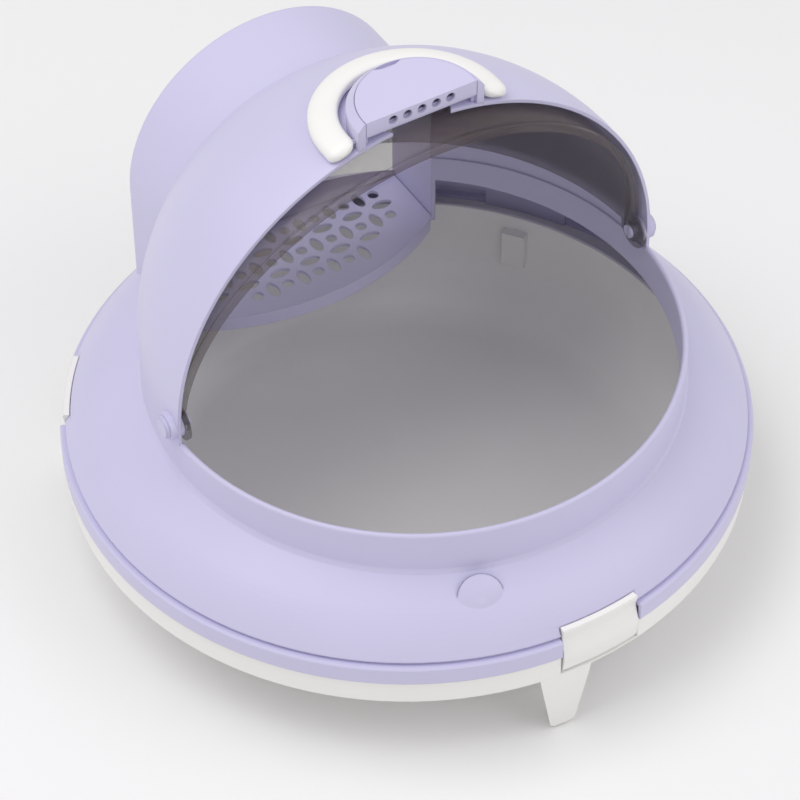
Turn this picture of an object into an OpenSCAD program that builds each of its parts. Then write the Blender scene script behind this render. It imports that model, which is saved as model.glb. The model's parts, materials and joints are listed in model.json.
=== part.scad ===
/* [Joint plane] */
// Height of the plane where the cover meets the pan, above the floor
rim_z = 93; // [85:1:120]
// Outer radius of the cover's skirt
skirt_r = 295; // [292:1:305]
// Wall of every moulded shell
wall = 3; // [2.5:0.1:4]
// Play between pieces that are lifted off or swung
play = 0.6; // [0.3:0.1:1]

/* [Pan] */
// How far the pan's rim band stands inside the skirt
band_inset = 2; // [1:0.5:4]
// Height of the pan's rim band
band_h = 24; // [21:1:27]
// How far the pan's wall stands inside the skirt
pan_wall_inset = 33; // [29:1:38]
// Depth of the steep upper wall below the rim band
pan_wall_drop = 21; // [15:1:30]
// How far the edge of the pan's flat floor lies inside the skirt
pan_floor_inset = 80; // [65:1:120]
// Gap between the pan's floor and the ground
pan_floor_gap = 6; // [4:1:15]
// Height of the ring on the pan that stands inside the cover
pan_ring_h = 14; // [5:1:15]

/* [Cover] */
// Height of the skirt's band
skirt_h = 17; // [14:1:20]
// Depth of the groove above the skirt's band
groove_depth = 7; // [4:0.5:7]
// Height of the groove
groove_h = 2.5; // [1.5:0.5:4]
// How far the bell starts inside the skirt above the groove
bell_foot_inset = 5; // [4:0.5:7]
// How far the bell's knee lies inside the skirt
bell_knee_inset = 18; // [15:1:25]
// Height of the bell's knee above the joint plane
bell_knee_h = 40.5; // [36:0.5:44]
// Rounding of the bell's knee
bell_round = 120; // [60:5:120]
// Slope of the bell above the knee, in degrees
bell_slope = 36.5; // [30:0.5:38]
// Diameter of the round boss on the bell
bump_d = 34; // [20:1:40]
// How far the round boss stands out
bump_rise = 3; // [2:0.5:5]
// Angle of the round boss from the front
bump_angle = -18; // [-25:1:-14]

/* [Neck and hood] */
// How much smaller the radius of the neck and of the hood is than the skirt's
hood_inset = 67; // [63:1:73]
// How far the neck's axis stands behind the skirt's axis
neck_y = -11; // [-14:1:-8]
// Thickness of the neck and its lip
lip_wall = 5; // [4:0.5:6]
// Height of the lip above the joint plane
lip_h = 111; // [106:1:114]
// Rounding where the neck grows out of the bell
neck_round = 16; // [8:1:20]
// Height of the hood's centre above the joint plane
hood_h = 124; // [118:1:130]
// How far the hood's front edge stands in front of its centre
hood_front = 12; // [12:0.5:16]

/* [Tunnel] */
// Outer radius of the tunnel
tunnel_r = 132; // [120:1:136]
// Height of the tunnel's centre above the joint plane
tunnel_h = 143; // [130:1:148]
// How far the tunnel's rear end stands inside the skirt
tunnel_end_inset = 57; // [51:1:61]

/* [Filter pedal] */
// Height of the pedal's tread above the joint plane
pedal_h = 42; // [38:1:48]
// Distance from the pedal's front edge to the tunnel's rear end on the middle line
pedal_depth = 108; // [95:1:118]
// Radius of the pedal's curved front edge
pedal_front_r = 233; // [200:1:300]
// Depth of the pedal's turned down front lip
pedal_lip = 14; // [10:1:18]
// Spacing of the drain pattern
drain_pitch = 30.6; // [28:0.2:36]
// Sideways shift of the drain pattern
drain_shift = 6.5; // [0:0.5:15]
// Diameter of the round drains
drain_d = 10; // [6:0.5:11]
// Length of the petal shaped drains
petal_l = 21; // [16:0.5:22]
// Width of the petal shaped drains
petal_w = 10; // [7:0.5:11]
// Plain margin round the drain pattern
drain_margin = 21; // [16:1:26]

/* [Visor] */
// Distance from the hood's outside to the visor's outside
visor_gap = 7; // [7:0.5:12]
// Thickness of the visor
visor_wall = 2.5; // [2:0.1:3.5]
// Angle of the visor's front edge above the horizontal when open
visor_front_angle = 80; // [76:1:84]
// Angle that the visor spans
visor_span = 98; // [92:1:98]
// Width of the bead along the visor's front edge
visor_bead_w = 9.5; // [7:0.5:12]
// Depth of the bead along the visor's front edge
visor_bead_t = 6.5; // [4.5:0.5:8]
// Radius of the visor's round ears
ear_r = 17; // [14:0.5:18]
// Radius of the visor's pivot pins
visor_pin_r = 5; // [4:0.25:6]
// Radial clearance of every turning pin
pin_gap = 0.06; // [0.03:0.01:0.1]

/* [Handle] */
// Width of the handle's arms
handle_arm = 22.5; // [18:0.5:26]
// Gap between the handle's arms and the tray
handle_gap = 1.5; // [1:0.1:3]
// Gap for the fingers between the tray and the handle's grip
finger_gap = 10.5; // [9:0.5:20]
// Width of the handle's grip at the back
handle_grip = 26; // [22:1:28]
// Thickness of the handle
handle_t = 11; // [9:0.5:13]
// Radius of the handle's pins
handle_pin_r = 2.5; // [2:0.25:3]

/* [Deodorizer] */
// Half width of the lid
lid_r = 50; // [44:1:50]
// Width of the tray's wall beside the lid
tray_wall = 7; // [6:0.5:7]
// Height of the lid's top above the top of the hood
lid_rise = 18; // [17:0.5:22]
// Number of vent holes in the lid's front
vent_n = 5; // [3:1:6]
// Spacing of the vent holes
vent_pitch = 13; // [11:0.5:14]
// Diameter of the vent holes
vent_d = 8; // [5:0.5:8]
// Width of the finger notch
notch_w = 23; // [16:1:30]
// Radius of the lid's hinge pin
lid_pin_r = 2; // [1.5:0.25:2.25]

/* [Clips] */
// Angle of the front clip from the front
clip_turn = 1.2; // [-3:0.1:3]
// Angle from the front clip to each of the other two
clip_spread = 125; // [120:0.5:130]
// Angle that each clip spans
clip_span = 14.2; // [12:0.1:18]
// Thickness of the clips
clip_t = 3.8; // [3:0.1:4.5]
// Radius of the clip's hinge pin
clip_pin_r = 1.5; // [1.25:0.25:1.75]

/* [Legs] */
// Angle from each clip to the leg beside it
leg_turn = -6.3; // [-8:0.1:8]
// Width of the leg under the pan's rim
leg_top_w = 48; // [42:1:54]
// Width of the leg above its round foot
leg_foot_w = 28; // [24:1:34]
// How far the middle of the feet stands inside the skirt
foot_inset = 12; // [11:0.5:16]
// Height of the rubber foot pads that shows
pad_h = 1.5; // [1:0.5:4]
// Radius of the rubber foot pads
pad_r = 5; // [4:0.5:6]

/* [Hidden] */

$fn = 96;
eps = 0.01;
far = 700;

lavender = [0.80, 0.78, 0.92];
white = [0.96, 0.96, 0.95];
smoke = [0.45, 0.40, 0.40, 0.45];
rubber = [0.35, 0.35, 0.36];
steel = [0.75, 0.75, 0.77];
charcoal = [0.16, 0.16, 0.17];

// Pan
band_r = skirt_r - band_inset;
band_z = rim_z - band_h;
pan_wall_r = skirt_r - pan_wall_inset;
pan_floor_r = skirt_r - pan_floor_inset;
pan_waist_z = band_z - pan_wall_drop;
pan_waist_r = pan_wall_r - 4;

// Cover
groove_r = skirt_r - groove_depth;
groove_z = rim_z + skirt_h;
bell_foot_r = skirt_r - bell_foot_inset;
bell_foot_z = groove_z + groove_h + 1.5;
bell_knee_r = skirt_r - bell_knee_inset;
bell_knee_z = rim_z + bell_knee_h;
hood_r = skirt_r - hood_inset;
bell_top_r = hood_r - 16;
bell_top_z = bell_knee_z + (bell_knee_r - bell_top_r) * tan(bell_slope);

// Recesses in the rim where the clips sit
recess_r = skirt_r - 9.5;
recess_side = 0.5;
recess_lift = 0.3;
recess_angle = clip_span + recess_side;
recess_z = bell_foot_z
    + (bell_foot_r - recess_r) / (bell_foot_r - bell_knee_r) * (bell_knee_z - bell_foot_z);

// Neck and hood
lip_z = rim_z + lip_h;
lip_r = hood_r - lip_wall;
hood_z = rim_z + hood_h;
hood_in = hood_r - wall;
hood_top = hood_z + hood_r;
neck_foot_z = bell_knee_z + (bell_knee_r - hood_r) * tan(bell_slope);
neck_cut_z = neck_foot_z - 4;
neck_low_z = neck_foot_z - 14;
cove_tilt = atan(-neck_y * tan(bell_slope) / hood_r);
cove_sink = 0.6;

// Tunnel
tunnel_z = rim_z + tunnel_h;
tunnel_in = tunnel_r - wall;
tunnel_end = skirt_r - tunnel_end_inset;
pedal_front = tunnel_end - pedal_depth;
tread_z = rim_z + pedal_h;
chute_z = tread_z - wall - play - wall;
ledge_w = 7;
rear_ledge_w = 3.8;

// Visor pivot
boss_r = 12;
boss_out = hood_r + 5;
visor_r = hood_r - visor_gap;
boss_in = visor_r + 0.4;
visor_in = visor_r - visor_wall;
visor_boss_r = 10;
visor_boss_x = visor_in - 3;
pin_head_r = 9.5;
pin_head_t = 3.5;
screw_head_r = 6;
screw_head_t = 2.2;
screw_r = 1.5;
screw_l = 12;

// Deodorizer, measured from the top of the hood
lid_top = hood_top + lid_rise;
tray_r = lid_r + tray_wall;
tray_front = neck_y - hood_front;
tray_y = tray_front + 4.5;
lid_t = wall;
lid_gap = 0.4;
lid_axis_y = tray_front + 4;
lid_knuckle_r = 4;
lid_axis_z = hood_top + lid_knuckle_r + 1;
tray_floor_z = hood_top + 1.6;
tray_wall_in = lid_r - 3;
filter_front = lid_axis_y + lid_knuckle_r + 2;
vent_hole_r = 32;
vent_z = lid_top - lid_t - 0.5 - vent_d / 2 + 1;
notch_depth = 4.5;

// Handle
handle_in = tray_r + handle_gap;
handle_r = handle_in + handle_arm;
handle_in_back = tray_y + tray_r + finger_gap - neck_y;
handle_back = handle_in_back + handle_grip;
handle_lo = hood_r + play;
handle_hi = handle_lo + handle_t;
handle_axis_y = neck_y - 5;
handle_axis_z = hood_top - 1.5;
handle_pin_l = 16;
handle_knuckle_r = 5.4;

// Clips
clip_angles = [clip_turn, clip_turn + clip_spread, clip_turn - clip_spread];
clip_in_r = recess_r + play;
clip_low_z = band_z + 3.5;
clip_low_r = band_r + 0.5;
clip_axis_r = clip_low_r - 6.5;
clip_axis_z = clip_low_z + 6.5;
clip_barrel_r = 5;
clip_room_z = clip_low_z - 1.5;
barrel_half = (clip_axis_r - 1) * tan(clip_span / 2);
lug_in = (clip_axis_r + 6) * tan(recess_angle / 2);
lug_out = lug_in + 5;

// Boxes in the pan's wall behind the clips
box_w = 22;
box_r = pan_wall_r - 12;

// Legs
foot_r = skirt_r - foot_inset;
pad_seat = 3;
leg_draft = 22;

// Unit vector, its left normal, and a point on a circle
function unit(v) = v / norm(v);
function left(v) = [-v[1], v[0]];
function at(a) = [cos(a), sin(a)];

// An open line moved sideways by w, to its left
function beside(p, w) = let (n = len(p) - 1) [for (i = [0:n])
    let (a = left(unit(p[max(i, 1)] - p[max(i, 1) - 1])),
         b = left(unit(p[min(i, n - 1) + 1] - p[min(i, n - 1)])))
    p[i] + w * (a + b) / (1 + a * b)];

// The arc that rounds the corner b between a and c with radius r
function corner(a, b, c, r, steps = 8) =
    let (u = unit(a - b), v = unit(c - b), half = acos(max(-1, min(1, u * v))) / 2,
         reach = r / tan(half), m = b + unit(u + v) * r / sin(half),
         s = b + u * reach - m, e = b + v * reach - m,
         sweep = 180 - 2 * half, turn = sign(s[0] * e[1] - s[1] * e[0]))
    [for (k = [0:steps]) let (t = turn * sweep * k / steps)
        m + [s[0] * cos(t) - s[1] * sin(t), s[0] * sin(t) + s[1] * cos(t)]];

// An open line whose inner corners are rounded by the radii in r, 0 for a sharp one
function rounded(p, r) = [for (i = [0:len(p) - 1])
    each (i == 0 || i == len(p) - 1 || r[i] == 0 ? [p[i]] : corner(p[i - 1], p[i], p[i + 1], r[i]))];

function backwards(p) = [for (i = [len(p) - 1:-1:0]) p[i]];

// Turns children from the front, -Y, to an angle round the skirt's axis
module around(angle) rotate([0, 0, angle]) children();

// A sector of a ring, centred on the front
module sector(angle) rotate([0, 0, -90 - angle / 2]) rotate_extrude(angle = angle) children();

// Places children on the hood's centre
module on_hood() translate([0, neck_y, hood_z]) children();

// A cylinder along X from x0 to x1
module rod_x(r, x0, x1) translate([x0, 0, 0]) rotate([0, 90, 0]) cylinder(r = r, h = x1 - x0);

// A block on the given ranges
module block(x, y, z) translate([x[0], y[0], z[0]]) cube([x[1] - x[0], y[1] - y[0], z[1] - z[0]]);

// Pan

pan_line = [[0, pan_floor_gap], [pan_floor_r, pan_floor_gap],
    [pan_waist_r, pan_waist_z], [pan_wall_r, rim_z - wall]];
pan_radii = [0, 40, 60, 0];

module pan_profile() {
    outer = rounded(pan_line, pan_radii);
    inner = rounded(beside(pan_line, wall), [0, 40 - wall, 60 - wall, 0]);
    ring = [[pan_wall_r - wall, rim_z + pan_ring_h], [pan_wall_r, rim_z + pan_ring_h]];
    top = [[pan_wall_r, rim_z], [band_r, rim_z], [band_r, band_z]];
    under = [[band_r - wall, band_z], [band_r - wall, rim_z - wall]];
    polygon(concat([[0, pan_floor_gap + wall]], [for (i = [1:len(inner) - 2]) inner[i]],
        ring, top, under, backwards(outer)));
}

// The blocks behind the rim band that hold the clip's hinge pin
module clip_lugs() for (s = [0, 180]) intersection() {
    lug_r = clip_axis_r - clip_barrel_r;
    translate([0, -clip_axis_r, 0]) rotate([0, 0, s])
        block([lug_in, lug_out], [-far, far], [band_z, clip_axis_z + clip_barrel_r]);
    sector(40) translate([lug_r, 0]) square([band_r - 0.5 - lug_r, far]);
}

module wall_box(w, r, low, high) block([-w / 2, w / 2], [-pan_wall_r - 2, -r], [low, high]);

leg_in_r = foot_r - pad_r - 3;
leg_side = [[leg_in_r, rim_z - wall / 2], [band_r - 0.2, rim_z - wall / 2], [band_r - 0.2, band_z - 12],
    [foot_r + pad_r + 3, pad_h], [leg_in_r + 1, pad_h]];

module leg_front_view() {
    foot = leg_foot_w / 2;
    foot_z = pad_h + sqrt(foot * foot - (pad_r + 1) * (pad_r + 1));
    translate([0, foot_z]) circle(r = foot);
    polygon([[-foot, foot_z], [foot, foot_z], [leg_top_w / 2, band_z], [leg_top_w / 2, rim_z],
        [-leg_top_w / 2, rim_z], [-leg_top_w / 2, band_z]]);
}

// The leg's sides lean inward from its outer face
module leg() difference() {
    intersection() {
        rotate([0, 0, -90 - 20]) rotate_extrude(angle = 40) polygon(rounded(leg_side, [0, 0, 60, 2.5, 0]));
        translate([0, far, 0]) rotate([90, 0, 0]) linear_extrude(2 * far) leg_front_view();
        block([-far, far], [-far, far], [pad_h, far]);
    }
    for (s = [0, 1]) mirror([s, 0, 0]) translate([leg_top_w / 2, -band_r, band_z])
        rotate([0, atan((leg_top_w - leg_foot_w) / 2 / (band_z - leg_foot_w / 2)), 0]) rotate([0, 0, leg_draft])
            block([0, far], [-far, far], [-far, far]);
    translate([0, -foot_r, 0]) cylinder(r = pad_r, h = pad_h + pad_seat);
}

module base_pan() color(white) difference() {
    pan_body();
    for (a = clip_angles) around(a) clip_pin_rod();
}

module pan_body() {
    difference() {
        union() {
            rotate_extrude() pan_profile();
            for (a = clip_angles) around(a) intersection() {
                wall_box(box_w, box_r, pan_waist_z + 8, rim_z - eps);
                cylinder(r = pan_wall_r - 1, h = far);
            }
            for (a = clip_angles) around(a + leg_turn) leg();
        }
        for (a = clip_angles) around(a) {
            wall_box(box_w - 2 * wall, box_r + wall, pan_waist_z + 8 + wall, rim_z - wall);
            sector(recess_angle) {
                translate([recess_r, clip_room_z]) square([far, band_h]);
                translate([clip_axis_r - clip_barrel_r - play, clip_room_z])
                    square([far, rim_z - wall - 0.5 - clip_room_z]);
            }
        }
    }
    for (a = clip_angles) around(a) clip_lugs();
}

// Cover

bell_line = [[skirt_r, rim_z], [skirt_r, groove_z - 1.5], [skirt_r - 1.5, groove_z],
    [groove_r, groove_z], [groove_r, groove_z + groove_h], [bell_foot_r, bell_foot_z - 1],
    [bell_foot_r, bell_foot_z], [bell_knee_r, bell_knee_z], [bell_top_r, bell_top_z]];
bell_skin = [[skirt_r, rim_z], [skirt_r, bell_foot_z], [bell_foot_r, bell_foot_z],
    [bell_knee_r, bell_knee_z], [bell_top_r, bell_top_z]];
groove_back = [groove_r - wall, bell_foot_z - wall];

module bell_solid() rotate_extrude() polygon(concat([[0, rim_z]],
    rounded(bell_line, [0, 0, 0, 0, 0, 0, 0, bell_round, 0]), [[0, bell_top_z]]));

module bell_hollow() rotate_extrude() {
    low = beside([bell_line[6], bell_line[7], bell_line[8]], wall);
    polygon(concat([[0, rim_z - 1], [skirt_r - wall, rim_z - 1], [skirt_r - wall, groove_z - wall],
        [groove_r - wall, groove_z - wall], [groove_r - wall, bell_foot_z]],
        [for (p = rounded(low, [0, bell_round - wall, 0])) if (p[1] > bell_foot_z) p],
        [[0, bell_top_z - wall]]));
}

// The skirt's seat on the pan's rim
module skirt_seat() rotate_extrude()
    translate([groove_r - wall, rim_z]) square([skirt_r - groove_r + wall - 1, wall]);

module neck_solid() translate([0, neck_y, 0]) rotate_extrude() {
    bead = [for (k = [0:8]) [lip_r + lip_wall / 2, lip_z - lip_wall / 2] + lip_wall / 2 * at(22.5 * k)];
    polygon(concat([[lip_r, neck_low_z], [hood_r, neck_low_z]], bead));
}

// The rounding between bell and neck, on the tilted ring where the two meet, sunk a little into both
module neck_cove() translate([0, neck_y, neck_foot_z]) rotate([cove_tilt, 0, 0]) rotate_extrude() {
    arc = corner([hood_r + neck_round, -neck_round * tan(bell_slope)], [hood_r, 0],
        [hood_r, neck_round], neck_round);
    polygon(concat([[lip_r + 1, arc[0][1] - 1]], [for (p = arc) p - [cove_sink, cove_sink]],
        [[lip_r + 1, arc[8][1] - cove_sink]]));
}

module hood_solid(r) intersection() {
    union() {
        on_hood() sphere(r = r, $fn = 128);
        translate([0, neck_y, neck_cut_z]) cylinder(r = r, h = hood_z - neck_cut_z, $fn = 128);
    }
    block([-far, far], [tray_front, far], [neck_cut_z, far]);
}

// The tunnel's outline along Y, from its low edge to its round top
module tunnel_prism(r, low, y0, y1) {
    translate([0, y1, tunnel_z]) rotate([90, 0, 0]) cylinder(r = r, h = y1 - y0, $fn = 128);
    block([-r, r], [y0, y1], [low, tunnel_z]);
}

module pivot_bosses() on_hood() for (s = [0, 180]) rotate([0, 0, s]) {
    intersection() {
        rod_x(boss_r, boss_in, boss_out);
        block([0, far], [-hood_front, far], [-far, far]);
    }
}

module pivot_holes() on_hood() for (s = [0, 180]) rotate([0, 0, s])
    rod_x(visor_pin_r, boss_in - 1, boss_out + 1);

module bump() {
    ball = (bump_d * bump_d / 4 + bump_rise * bump_rise) / (2 * bump_rise);
    r = bell_knee_r - 19;
    z = bell_knee_z + 19 * tan(bell_slope);
    around(bump_angle) translate([0, -r, z]) rotate([90 - bell_slope, 0, 0]) intersection() {
        translate([0, 0, bump_rise - ball]) sphere(r = ball);
        translate([0, 0, -1]) cylinder(r = far, h = bump_rise + 2);
    }
}

// The walls that carry the tunnel down inside the bell, with a ledge for the pedal
module chute() difference() {
    intersection() {
        block([-tunnel_r, tunnel_r], [0, tunnel_end], [chute_z, tunnel_z]);
        bell_solid();
    }
    block([-tunnel_in + ledge_w, tunnel_in - ledge_w], [-1, tunnel_end - wall - rear_ledge_w],
        [chute_z - 1, far]);
    block([-tunnel_in, tunnel_in], [-1, tunnel_end - wall], [tread_z - wall - play, far]);
    translate([0, neck_y, 0]) cylinder(r = lip_r, h = far, $fn = 128);
}

module cover_shell() color(lavender) difference() {
    cover_walls();
    pivot_holes();
}

module cover_walls() {
    difference() {
        union() {
            bell_solid();
            neck_solid();
            neck_cove();
            hood_solid(hood_r);
            intersection() {
                tunnel_prism(tunnel_r, chute_z, neck_y, tunnel_end);
                block([-far, far], [neck_y, far], [chute_z, far]);
            }
            bump();
        }
        bell_hollow();
        translate([0, neck_y, lip_z - far]) cylinder(r = lip_r, h = far, $fn = 128);
        intersection() {
            hood_solid(hood_in);
            block([-far, far], [tray_front - 1, far], [lip_z - lip_wall / 2, far]);
        }
        block([-far, far], [-far, tray_front], [lip_z + eps, far]);
        difference() {
            tunnel_prism(tunnel_in, chute_z, neck_y, far);
            bell_solid();
        }
        tunnel_prism(tunnel_in, chute_z, neck_y, tunnel_end - wall);
        translate([0, tray_y + 14, hood_top - 60]) cylinder(r = vent_hole_r, h = 80);
        for (a = clip_angles) around(a) sector(recess_angle)
            translate([recess_r, rim_z - 1]) square([far, recess_z - rim_z + 1]);
    }
    difference() {
        skirt_seat();
        for (a = clip_angles) around(a) sector(recess_angle)
            translate([recess_r, rim_z - 1]) square([far, far]);
    }
    for (a = clip_angles) around(a) sector(recess_angle + 1)
        translate([recess_r - wall, rim_z + recess_lift]) square([wall, recess_z - rim_z - recess_lift]);
    chute();
    pivot_bosses();
}

// Filter pedal

module pedal_outline(inset) intersection() {
    translate([0, pedal_front + pedal_front_r]) circle(r = pedal_front_r - inset, $fn = 180);
    translate([-tunnel_in + play + inset, pedal_front])
        square([2 * (tunnel_in - play - inset), tunnel_end - wall - play - inset - pedal_front]);
}

// A petal: two arcs that meet, with blunt tips
module petal() {
    bow = (petal_l * petal_l + petal_w * petal_w) / (4 * petal_w);
    intersection() {
        translate([0, bow - petal_w / 2]) circle(r = bow);
        translate([0, petal_w / 2 - bow]) circle(r = bow);
        circle(r = petal_l / 2 - 1);
    }
}

// Whether a drain at p that reaches back by reach is clear of the pedal's edges and ledges
function drain_clear(p, reach) = let (front = pedal_front_r - norm(p - [0, pedal_front + pedal_front_r]))
    front > drain_margin && abs(p[0]) < tunnel_in - drain_margin
    && p[1] + reach < tunnel_end - wall - rear_ledge_w + 0.5;

module drains() for (i = [-6:6], j = [-4:4]) {
    p = [drain_shift + i * drain_pitch, pedal_front + 60 + j * drain_pitch];
    side = p + [drain_pitch / 2, 0];
    back = p + [0, drain_pitch / 2];
    if (drain_clear(p, drain_d / 2)) translate(p) circle(d = drain_d, $fn = 32);
    if (drain_clear(side, petal_l / 2)) translate(side) rotate(90) petal();
    if (drain_clear(back, petal_w / 2)) translate(back) petal();
}

module filter_pedal() color(lavender) {
    neck = sqrt(lip_r * lip_r - tunnel_r * tunnel_r) + neck_y;
    translate([0, 0, tread_z - wall]) linear_extrude(wall) difference() {
        pedal_outline(0);
        drains();
    }
    translate([0, 0, tread_z - pedal_lip]) linear_extrude(pedal_lip - wall + eps) intersection() {
        difference() {
            pedal_outline(0);
            pedal_outline(wall);
        }
        translate([-far, 0]) square([2 * far, neck - 2]);
    }
}

// Visor, measured from the hood's centre

// The half space above a plane through X at an angle from the front, moved back by shift
module above(angle, shift = 0) rotate([-angle, 0, 0]) block([-far, far], [-far, far], [shift, far]);

module visor() color(smoke) on_hood() difference() {
    union() {
        difference() {
            intersection() {
                sphere(r = visor_r, $fn = 128);
                union() {
                    intersection() {
                        above(visor_front_angle);
                        rotate([180 - visor_front_angle - visor_span, 0, 0])
                            block([-far, far], [-far, far], [0, far]);
                    }
                    rod_x(ear_r, -far, far);
                }
            }
            sphere(r = visor_in, $fn = 128);
        }
        intersection() {
            difference() {
                sphere(r = visor_r, $fn = 128);
                sphere(r = visor_r - visor_bead_t, $fn = 128);
            }
            difference() {
                above(visor_front_angle);
                above(visor_front_angle, visor_bead_w);
            }
            block([-far, far], [-far, far], [0, far]);
        }
        for (s = [0, 180]) rotate([0, 0, s]) rod_x(visor_boss_r, visor_boss_x, visor_in);
    }
    rod_x(visor_boss_r, -visor_boss_x, visor_boss_x);
    difference() {
        intersection() {
            above(visor_front_angle, visor_bead_w * 0.4);
            rod_x(far, -far, far);
        }
        above(visor_front_angle, visor_bead_w * 0.6);
        sphere(r = visor_r - 1.2, $fn = 128);
        rod_x(ear_r + 6, -far, far);
    }
    rod_x(visor_pin_r + pin_gap, -far, far);
}

module visor_pin(s) on_hood() rotate([0, 0, s]) difference() {
    union() {
        rod_x(visor_pin_r, visor_boss_x - 0.4, boss_out);
        rod_x(pin_head_r - 1, boss_out, boss_out + pin_head_t);
        rod_x(pin_head_r, boss_out, boss_out + pin_head_t - 1);
    }
    rod_x(screw_r, visor_boss_x - 1, visor_boss_x - 0.4 + screw_l);
}

module visor_screw(s) on_hood() rotate([0, 0, s]) {
    seat = visor_boss_x - 0.4;
    difference() {
        rod_x(screw_head_r, seat - screw_head_t, seat);
        block([seat - screw_head_t - 1, seat - 1.2], [-0.9, 0.9], [-far, far]);
    }
    rod_x(screw_r, seat - eps, seat + screw_l);
}

// Handle

// A half round with straight sides: half width r, back end at back
module tongue(r, front, back) {
    translate([0, back - r]) circle(r = r);
    translate([-r, front]) square([2 * r, back - r - front]);
}

module handle() color(white) difference() {
    union() {
        intersection() {
            difference() {
                on_hood() sphere(r = handle_hi, $fn = 128);
                on_hood() sphere(r = handle_lo, $fn = 128);
            }
            translate([0, neck_y, hood_z]) linear_extrude(far) difference() {
                tongue(handle_r, -30, handle_back);
                tongue(handle_in, -31, handle_in_back);
            }
            union() {
                block([-far, far], [handle_axis_y, far], [0, far]);
                for (s = [0, 180]) translate([0, handle_axis_y, handle_axis_z]) rotate([0, 0, s])
                    translate([handle_in, 0, 0]) rotate([0, 90, 0])
                        cylinder(r1 = 4.8, r2 = 12.2, h = handle_r - handle_in);
            }
        }
        translate([0, handle_axis_y, handle_axis_z]) for (s = [0, 180]) rotate([0, 0, s])
            rod_x(handle_knuckle_r, handle_in, handle_in + handle_pin_l - 4);
    }
    translate([0, handle_axis_y, handle_axis_z]) for (s = [0, 180]) rotate([0, 0, s])
        rod_x(handle_pin_r + pin_gap, handle_in - 1, handle_in + handle_pin_l - 6);
}

module handle_pin(s) color(steel) translate([0, handle_axis_y, handle_axis_z]) rotate([0, 0, s])
    rod_x(handle_pin_r, tray_r - 5, handle_in + handle_pin_l - 7);

// Deodorizer

// A half disc with a short straight front
module lid_shape(r, front = tray_front) intersection() {
    union() {
        translate([0, tray_y]) circle(r = r);
        translate([-r, tray_front]) square([2 * r, tray_y - tray_front]);
    }
    translate([-far, front]) square(2 * far);
}

module tray_section() {
    polygon([[tray_wall_in, tray_floor_z - 12], [tray_wall_in, lid_top - lid_t - lid_gap],
        [lid_r + lid_gap, lid_top - lid_t - lid_gap], [lid_r + lid_gap, lid_top - 0.5],
        [lid_r + lid_gap + 1, lid_top - 0.5], [tray_r, lid_top - 7], [tray_r, hood_z + hood_r * 0.9]]);
}

module deodorizer_tray() color(lavender) difference() {
    union() {
        translate([0, tray_y, 0]) rotate_extrude(angle = 180) tray_section();
        for (s = [0, 1]) mirror([s, 0, 0]) translate([0, tray_y, 0]) rotate([90, 0, 0])
            linear_extrude(tray_y - tray_front) tray_section();
        translate([0, 0, tray_floor_z - 12]) linear_extrude(12)
            lid_shape(tray_wall_in + 1, lid_axis_y + lid_knuckle_r + 0.6);
    }
    on_hood() sphere(r = hood_r, $fn = 128);
    for (i = [-2:2], j = [0:3]) translate([i * 11, tray_y + 2 + j * 9, tray_floor_z - 20])
        cylinder(d = 5, h = 40, $fn = 24);
    translate([0, lid_axis_y, lid_axis_z])
        rod_x(lid_knuckle_r + lid_gap, -lid_r - lid_gap, lid_r + lid_gap);
    block([-lid_r - lid_gap, lid_r + lid_gap], [tray_front - 1, tray_front + lid_t + lid_gap],
        [0, far]);
    translate([0, lid_axis_y, lid_axis_z]) rod_x(lid_pin_r, -tray_r + 1.5, tray_r - 1.5);
    translate([0, handle_axis_y, handle_axis_z]) for (s = [0, 180]) rotate([0, 0, s])
        rod_x(handle_pin_r, tray_r - 5, far);
}

module deodorizer_lid() color(lavender) difference() {
    union() {
        translate([0, 0, lid_top - lid_t]) linear_extrude(lid_t) lid_shape(lid_r);
        block([-lid_r, lid_r], [tray_front, tray_front + lid_t], [lid_axis_z, lid_top - eps]);
        translate([0, lid_axis_y, lid_axis_z]) rod_x(lid_knuckle_r, -lid_r, lid_r);
    }
    translate([0, lid_axis_y, lid_axis_z]) rod_x(lid_pin_r + pin_gap, -far, far);
    for (i = [0:vent_n - 1]) translate([(i - (vent_n - 1) / 2) * vent_pitch, tray_front - 1, vent_z])
        rotate([-90, 0, 0]) cylinder(d = vent_d, h = lid_t + 1.5, $fn = 48);
    translate([0, tray_y + lid_r + notch_w, lid_top - lid_t - 1])
        cylinder(r = notch_w + notch_depth, h = lid_t + 2);
}

module lid_pin() color(steel) translate([0, lid_axis_y, lid_axis_z])
    rod_x(lid_pin_r, -tray_r + 1.5, tray_r - 1.5);

module carbon_filter() color(charcoal) translate([0, 0, tray_floor_z])
    linear_extrude(lid_top - lid_t - 1.5 - tray_floor_z) lid_shape(tray_wall_in - play, filter_front);

// Clips

// The clip's outside, from its lower edge over its belly and waist to its lip
clip_line = [[clip_low_r, clip_low_z], [skirt_r + 0.5, rim_z - 2], [clip_in_r + clip_t, groove_z - 1],
    [clip_in_r + clip_t + 2, recess_z - 2.5]];

module clip_profile() {
    lip_top = recess_z - 0.6;
    polygon(concat([clip_line[0] - [clip_t, 0]],
        [clip_line[0] - [3, 0], clip_line[0] - [1.2, -0.8], clip_line[0] - [0, -4]],
        corner(clip_line[0], clip_line[1], clip_line[2], 24),
        corner(clip_line[1], clip_line[2], clip_line[3], 9),
        [clip_line[3], [clip_line[3][0] - 0.5, lip_top], [clip_in_r, lip_top],
            [clip_in_r, clip_line[2][1] - 1], clip_line[1] - [clip_t, 1]]));
}

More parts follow.
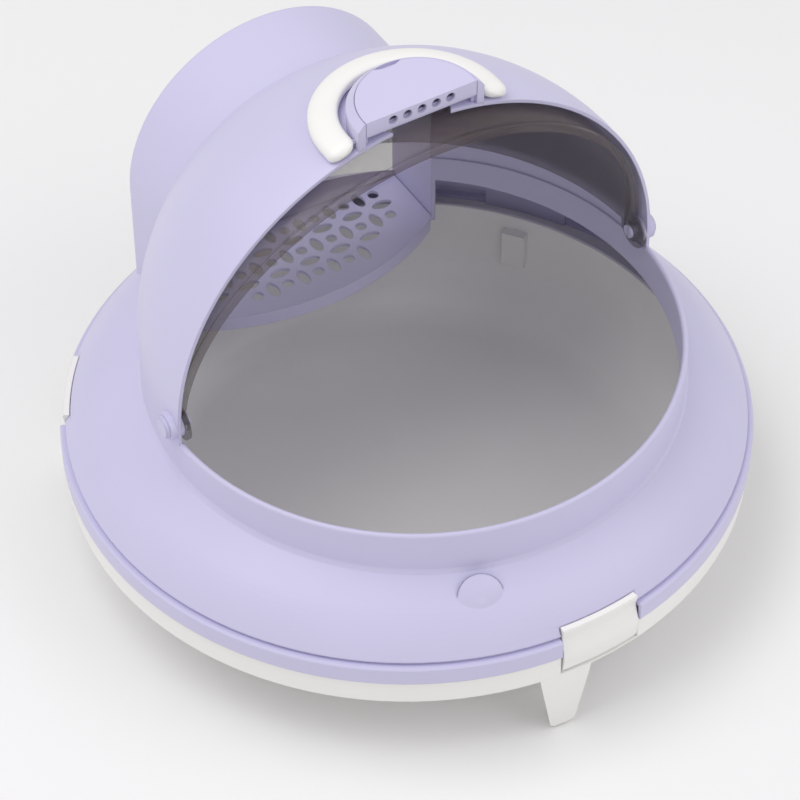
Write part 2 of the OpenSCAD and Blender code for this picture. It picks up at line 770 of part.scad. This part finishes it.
module clip(angle) color(white) around(angle) difference() {
    union() {
        sector(clip_span) clip_profile();
        intersection() {
            translate([0, -clip_axis_r, clip_axis_z]) rod_x(clip_barrel_r, -barrel_half, barrel_half);
            cylinder(r = clip_low_r - 1, h = far);
        }
    }
    translate([0, -clip_axis_r, clip_axis_z]) rod_x(clip_pin_r + pin_gap, -far, far);
}

module clip_pin_rod() translate([0, -clip_axis_r, clip_axis_z])
    rod_x(clip_pin_r, -lug_out + 1, lug_out - 1);

module clip_pin(angle) color(steel) around(angle) clip_pin_rod();

// Foot pads

module foot_pad(angle) color(rubber) around(angle + leg_turn) translate([0, -foot_r, 0])
    cylinder(r = pad_r, h = pad_h + pad_seat);

base_pan();
cover_shell();
filter_pedal();
visor();
color(lavender) visor_pin(180);  // visor_pin_left
color(lavender) visor_pin(0);  // visor_pin_right
color(lavender) visor_screw(180);  // visor_screw_left
color(lavender) visor_screw(0);  // visor_screw_right
handle();
handle_pin(180);  // handle_pin_left
handle_pin(0);  // handle_pin_right
deodorizer_tray();
deodorizer_lid();
lid_pin();
carbon_filter();
clip(clip_angles[0]);  // clip_front
clip(clip_angles[1]);  // clip_right
clip(clip_angles[2]);  // clip_left
clip_pin(clip_angles[0]);  // clip_pin_front
clip_pin(clip_angles[1]);  // clip_pin_right
clip_pin(clip_angles[2]);  // clip_pin_left
foot_pad(clip_angles[0]);  // foot_pad_front
foot_pad(clip_angles[1]);  // foot_pad_right
foot_pad(clip_angles[2]);  // foot_pad_left
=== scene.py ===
import json
import math

import bmesh
import bpy
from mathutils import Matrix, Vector


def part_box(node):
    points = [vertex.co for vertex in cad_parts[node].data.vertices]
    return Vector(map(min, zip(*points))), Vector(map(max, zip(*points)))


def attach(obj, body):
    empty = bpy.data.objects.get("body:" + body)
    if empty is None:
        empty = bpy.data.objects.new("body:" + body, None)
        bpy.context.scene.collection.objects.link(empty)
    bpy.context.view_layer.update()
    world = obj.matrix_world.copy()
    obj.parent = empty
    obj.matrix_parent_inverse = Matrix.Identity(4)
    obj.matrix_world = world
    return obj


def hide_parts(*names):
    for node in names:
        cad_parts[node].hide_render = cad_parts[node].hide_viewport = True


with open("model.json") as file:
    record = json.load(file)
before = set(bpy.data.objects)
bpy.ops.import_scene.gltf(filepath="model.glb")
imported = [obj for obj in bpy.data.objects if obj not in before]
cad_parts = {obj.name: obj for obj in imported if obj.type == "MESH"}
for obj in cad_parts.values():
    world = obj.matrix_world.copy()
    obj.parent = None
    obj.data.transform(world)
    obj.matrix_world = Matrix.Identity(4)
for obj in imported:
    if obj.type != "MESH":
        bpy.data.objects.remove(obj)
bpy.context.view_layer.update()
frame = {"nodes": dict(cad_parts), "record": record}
nodes = frame["nodes"]

# Colours are linear
LAVENDER = (0.610, 0.585, 0.800)
WHITE = (0.900, 0.890, 0.870)
SMOKE = (0.110, 0.085, 0.085)
RUBBER = (0.110, 0.110, 0.115)
STEEL = (0.600, 0.600, 0.620)
CHARCOAL = (0.020, 0.020, 0.022)
FLOOR = (0.900, 0.897, 0.905)

RIM_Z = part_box("cover_shell")[0].z

# Sizes are in metres. The hood's centre is the middle of the visor's axis.
HOOD = Vector((0.0, -0.011, RIM_Z + 0.124))
# The handle lies between two spheres round that centre
HANDLE_LOW = 0.2286
HANDLE_HIGH = 0.2396
# Its inner and outer edges in plan: radius, and the y of the arc's centre
HANDLE_INNER = (0.0585, 0.0015)
HANDLE_OUTER = (0.0810, 0.0050)
# The arms run from y = HANDLE_END towards the arc in equal steps, and are rounded over HANDLE_TAPER
HANDLE_END = -0.0125
HANDLE_STEP = 0.0015
HANDLE_ARM_POINTS = 9
HANDLE_ARC_STEPS = 72
HANDLE_RING_POINTS = 28
HANDLE_TAPER = 0.009
HANDLE_TAPER_POWER = 2.4
HANDLE_TAPER_LEAST = 0.02
# Powers that make the section a rounded box: across the handle and through it
HANDLE_SECTION = (0.75, 0.65)

EDGE_RADIUS = 0.0012
SHELL_TONE_SPREAD = 0.012
SHELL_TONE_SCALE = 9.0
SHELL_GRAIN_SCALE = 900.0
SHELL_GRAIN_STRENGTH = 0.06
SHELL_GRAIN_DEPTH = 0.0002
PLASTIC_IOR = 1.49
VISOR_ALPHA = 0.36

FLOOR_HALF = 6.0
LIGHT_AIM = (0, 0, 0.2)
WORLD_COLOUR = (1.0, 0.99, 0.99, 1.0)
WORLD_STRENGTH = 0.62

# The camera's place in degrees and metres round the cover's lower edge, and its lens in mm
CAMERA_AZIMUTH = -31.2
CAMERA_ELEVATION = 45.75
CAMERA_DISTANCE = 2.824
CAMERA_LENS = 148.4
CAMERA_SHIFT = (-0.0084, 0.0230)


def make_camera():
    data = bpy.data.cameras.new("camera")
    data.lens = CAMERA_LENS
    data.sensor_width = 36.0
    data.shift_x, data.shift_y = CAMERA_SHIFT
    data.clip_end = 20.0
    camera = bpy.data.objects.new("camera", data)
    azimuth = math.radians(CAMERA_AZIMUTH)
    elevation = math.radians(CAMERA_ELEVATION)
    back = Vector((math.sin(azimuth) * math.cos(elevation), -math.cos(azimuth) * math.cos(elevation),
                   math.sin(elevation)))
    target = Vector((0.0, 0.0, RIM_Z))
    camera.location = target + back * CAMERA_DISTANCE
    camera.rotation_euler = (-back).to_track_quat("-Z", "Y").to_euler()
    bpy.context.scene.collection.objects.link(camera)
    bpy.context.scene.camera = camera


def new_material(name):
    material = bpy.data.materials.new(name)
    material.use_nodes = True
    tree = material.node_tree
    shader = tree.nodes["Principled BSDF"]
    return material, tree, shader


def add_grain(tree, shader, scale, strength, distance, edge=0.0):
    """A fine moulded grain in object coordinates, as bump, over edges softened by a radius."""
    place = tree.nodes.new("ShaderNodeTexCoord")
    noise = tree.nodes.new("ShaderNodeTexNoise")
    noise.inputs["Scale"].default_value = scale
    noise.inputs["Detail"].default_value = 3.0
    bump = tree.nodes.new("ShaderNodeBump")
    bump.inputs["Strength"].default_value = strength
    bump.inputs["Distance"].default_value = distance
    tree.links.new(place.outputs["Object"], noise.inputs["Vector"])
    tree.links.new(noise.outputs["Fac"], bump.inputs["Height"])
    if edge:
        bevel = tree.nodes.new("ShaderNodeBevel")
        bevel.samples = 4
        bevel.inputs["Radius"].default_value = edge
        tree.links.new(bevel.outputs["Normal"], bump.inputs["Normal"])
    tree.links.new(bump.outputs["Normal"], shader.inputs["Normal"])


def add_tone(tree, shader, colour, spread, scale):
    """A slow, slight change of tone over a moulded surface."""
    place = tree.nodes.new("ShaderNodeTexCoord")
    noise = tree.nodes.new("ShaderNodeTexNoise")
    noise.inputs["Scale"].default_value = scale
    ramp = tree.nodes.new("ShaderNodeValToRGB")
    ramp.color_ramp.elements[0].position = 0.3
    ramp.color_ramp.elements[1].position = 0.7
    ramp.color_ramp.elements[0].color = [c * (1 - spread) for c in colour] + [1.0]
    ramp.color_ramp.elements[1].color = [min(c * (1 + spread), 1.0) for c in colour] + [1.0]
    tree.links.new(place.outputs["Object"], noise.inputs["Vector"])
    tree.links.new(noise.outputs["Fac"], ramp.inputs["Fac"])
    tree.links.new(ramp.outputs["Color"], shader.inputs["Base Color"])


def plastic(name, colour, roughness, edge):
    material, tree, shader = new_material(name)
    shader.inputs["Roughness"].default_value = roughness
    shader.inputs["IOR"].default_value = PLASTIC_IOR
    add_tone(tree, shader, colour, SHELL_TONE_SPREAD, SHELL_TONE_SCALE)
    add_grain(tree, shader, SHELL_GRAIN_SCALE, SHELL_GRAIN_STRENGTH, SHELL_GRAIN_DEPTH, edge)
    return material


def smoked_clear():
    material, tree, shader = new_material("smoked_clear")
    shader.inputs["Roughness"].default_value = 0.06
    shader.inputs["IOR"].default_value = PLASTIC_IOR
    shader.inputs["Alpha"].default_value = VISOR_ALPHA
    add_tone(tree, shader, SMOKE, 0.03, 6.0)
    return material


def rubber():
    material, tree, shader = new_material("pad_rubber")
    shader.inputs["Roughness"].default_value = 0.8
    add_tone(tree, shader, RUBBER, 0.05, 60.0)
    add_grain(tree, shader, 1500.0, 0.2, 0.0003)
    return material


def steel():
    material, tree, shader = new_material("pin_steel")
    shader.inputs["Metallic"].default_value = 1.0
    shader.inputs["Roughness"].default_value = 0.3
    add_tone(tree, shader, STEEL, 0.04, 200.0)
    return material


def charcoal():
    material, tree, shader = new_material("charcoal")
    shader.inputs["Roughness"].default_value = 0.95
    add_tone(tree, shader, CHARCOAL, 0.3, 400.0)
    add_grain(tree, shader, 700.0, 0.8, 0.001)
    return material


def make_handle(material):
    """The crescent handle as one rounded sweep round the tray, on the hood's sphere."""
    last = HANDLE_ARM_POINTS - 1
    path = [(-1, HANDLE_END + HANDLE_STEP * k) for k in range(HANDLE_ARM_POINTS)]
    path += [(0, math.pi * (1 - k / HANDLE_ARC_STEPS)) for k in range(HANDLE_ARC_STEPS + 1)]
    path += [(1, HANDLE_END + HANDLE_STEP * (last - k)) for k in range(HANDLE_ARM_POINTS)]
    ring_n = HANDLE_RING_POINTS
    across_power, through_power = HANDLE_SECTION
    verts = []
    for side, value in path:
        ends = []
        for radius, centre in (HANDLE_INNER, HANDLE_OUTER):
            if side:
                ends.append(Vector((side * radius, value, 0)))
            else:
                y = max(centre + radius * math.sin(value), 0.0)
                ends.append(Vector((radius * math.cos(value), y, 0)))
        middle = (ends[0] + ends[1]) / 2
        across = (ends[1] - ends[0]) / 2
        fill = 1.0
        if side:
            past = max(0.0, 1 - (value - HANDLE_END) / HANDLE_TAPER)
            fill = math.sqrt(max(1 - past ** HANDLE_TAPER_POWER, HANDLE_TAPER_LEAST))
        for k in range(ring_n):
            turn = 2 * math.pi * k / ring_n
            u = math.copysign(abs(math.cos(turn)) ** across_power, math.cos(turn)) * fill
            v = math.copysign(abs(math.sin(turn)) ** through_power, math.sin(turn)) * fill
            flat = middle + across * u
            radius = (HANDLE_LOW + HANDLE_HIGH) / 2 + (HANDLE_HIGH - HANDLE_LOW) / 2 * v
            z = math.sqrt(radius * radius - flat.x * flat.x - flat.y * flat.y)
            verts.append(HOOD + Vector((flat.x, flat.y, z)))
    faces = [(i * ring_n + k, i * ring_n + (k + 1) % ring_n, (i + 1) * ring_n + (k + 1) % ring_n,
              (i + 1) * ring_n + k) for i in range(len(path) - 1) for k in range(ring_n)]
    faces.append(tuple(range(ring_n)))
    faces.append(tuple(len(verts) - 1 - k for k in range(ring_n)))
    mesh = bpy.data.meshes.new("handle_sweep")
    mesh.from_pydata(verts, [], faces)
    mesh.validate()
    for polygon in mesh.polygons:
        polygon.use_smooth = True
    mesh.materials.append(material)
    handle = bpy.data.objects.new("handle_sweep", mesh)
    bpy.context.scene.collection.objects.link(handle)
    fix_normals(mesh)
    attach(handle, "handle_body")
    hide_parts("handle")


def fix_normals(mesh):
    work = bmesh.new()
    work.from_mesh(mesh)
    bmesh.ops.recalc_face_normals(work, faces=work.faces)
    work.to_mesh(mesh)
    work.free()


def dress_nodes():
    lavender = plastic("lavender_shell", LAVENDER, 0.36, EDGE_RADIUS)
    white = plastic("white_shell", WHITE, 0.38, EDGE_RADIUS)
    by_slot = {"lavender_shell": lavender, "white_shell": white, "smoked_visor": smoked_clear(),
               "pad_rubber": rubber(), "pin_steel": steel(), "charcoal": charcoal()}
    for sub in frame["record"]["subparts"]:
        mesh = nodes[sub["node"]].data
        mesh.materials.clear()
        mesh.materials.append(by_slot[sub["material_slot"]])
    make_handle(white)


def make_floor():
    mesh = bpy.data.meshes.new("floor")
    half = FLOOR_HALF
    mesh.from_pydata([(-half, -half, 0), (half, -half, 0), (half, half, 0), (-half, half, 0)], [],
                     [(0, 1, 2, 3)])
    floor = bpy.data.objects.new("floor", mesh)
    bpy.context.scene.collection.objects.link(floor)
    material, _, shader = new_material("floor")
    shader.inputs["Base Color"].default_value = (*FLOOR, 1.0)
    shader.inputs["Roughness"].default_value = 0.9
    mesh.materials.append(material)


def area_light(name, place, aim, size, power):
    data = bpy.data.lights.new(name, "AREA")
    data.size = size
    data.energy = power
    light = bpy.data.objects.new(name, data)
    light.location = place
    light.rotation_euler = (Vector(aim) - Vector(place)).to_track_quat("-Z", "Y").to_euler()
    bpy.context.scene.collection.objects.link(light)


def make_light():
    area_light("key", (-1.1, 0.3, 2.6), LIGHT_AIM, 2.0, 30)
    area_light("fill", (1.3, -1.6, 2.0), LIGHT_AIM, 2.2, 15)
    world = bpy.data.worlds.new("world")
    world.use_nodes = True
    background = world.node_tree.nodes["Background"]
    background.inputs["Color"].default_value = WORLD_COLOUR
    background.inputs["Strength"].default_value = WORLD_STRENGTH
    bpy.context.scene.world = world
    bpy.context.scene.view_settings.view_transform = "Standard"


make_camera()
dress_nodes()
make_floor()
make_light()
